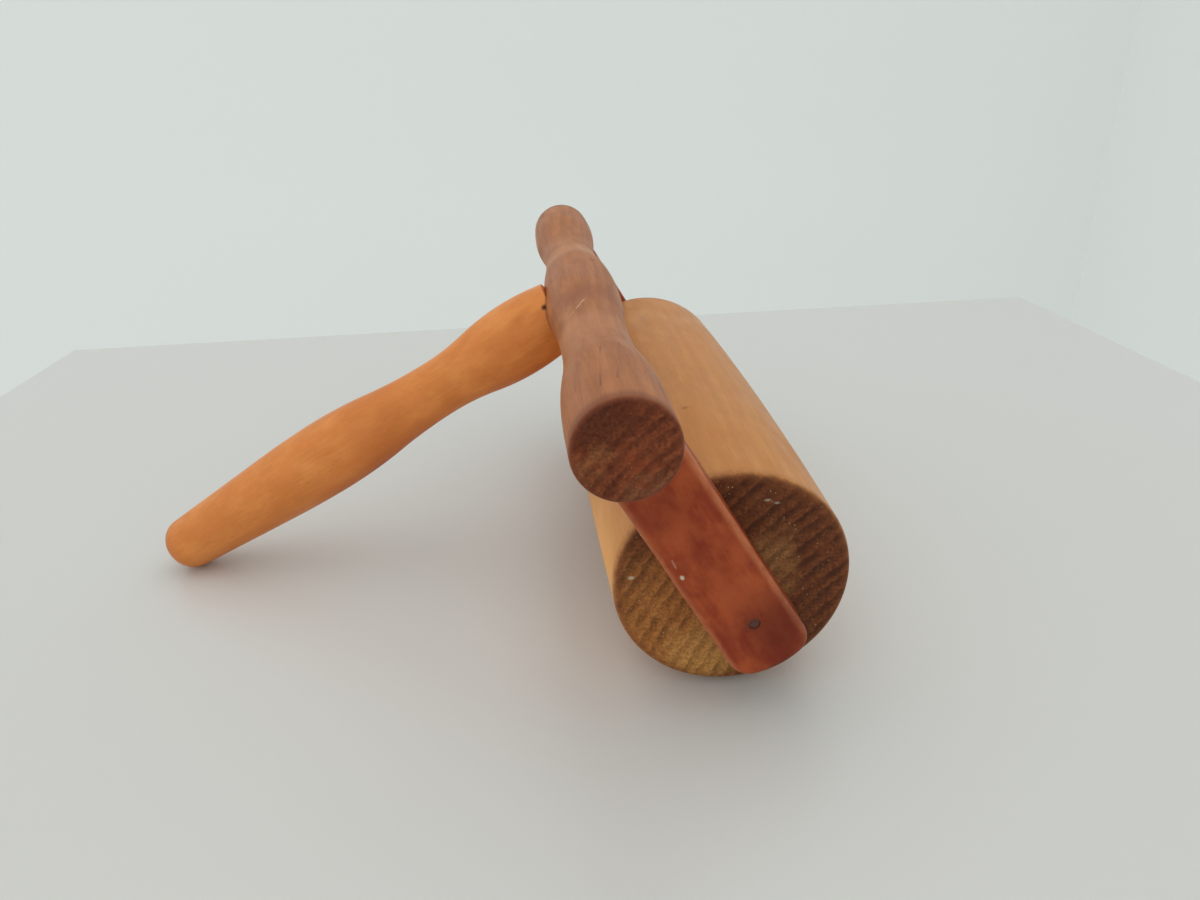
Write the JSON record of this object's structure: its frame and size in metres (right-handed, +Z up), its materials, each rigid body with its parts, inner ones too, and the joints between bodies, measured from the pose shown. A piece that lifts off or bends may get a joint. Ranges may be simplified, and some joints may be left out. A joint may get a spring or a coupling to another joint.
{
  "type": "lever nutcracker",
  "caption": "Wooden lever nutcracker: a bellied barrel between two flat arms that carry a turned cross bar and a turned handle.",
  "frame": {"origin": "on the table under the middle of the barrel; the belly, fattest 20 mm further along +Y, touches the table there", "axes": "+Y along the barrel from the near end to the far end, +Z up, +X to the side away from the handle"},
  "size_m": [0.2207, 0.246, 0.1051],
  "materials": {
    "barrel_wood": "waxed",
    "bar_wood": "waxed",
    "handle_wood": "waxed",
    "arm_wood": "waxed",
    "pin_steel": "dull"
  },
  "bodies": {
    "barrel": {"barrel": "barrel_wood"},
    "lever": {"arm_near": "arm_wood", "arm_far": "arm_wood", "cross_bar": "bar_wood", "handle": "handle_wood", "pin_near": "pin_steel", "pin_far": "pin_steel"}
  },
  "joints": [
    {"name": "lever_pivot", "type": "hinge", "parent": "barrel", "child": "lever", "pos_m": [0.003, 0, 0.0298], "axis": [0, 1, 0], "range_deg": [0, 130]}
  ]
}
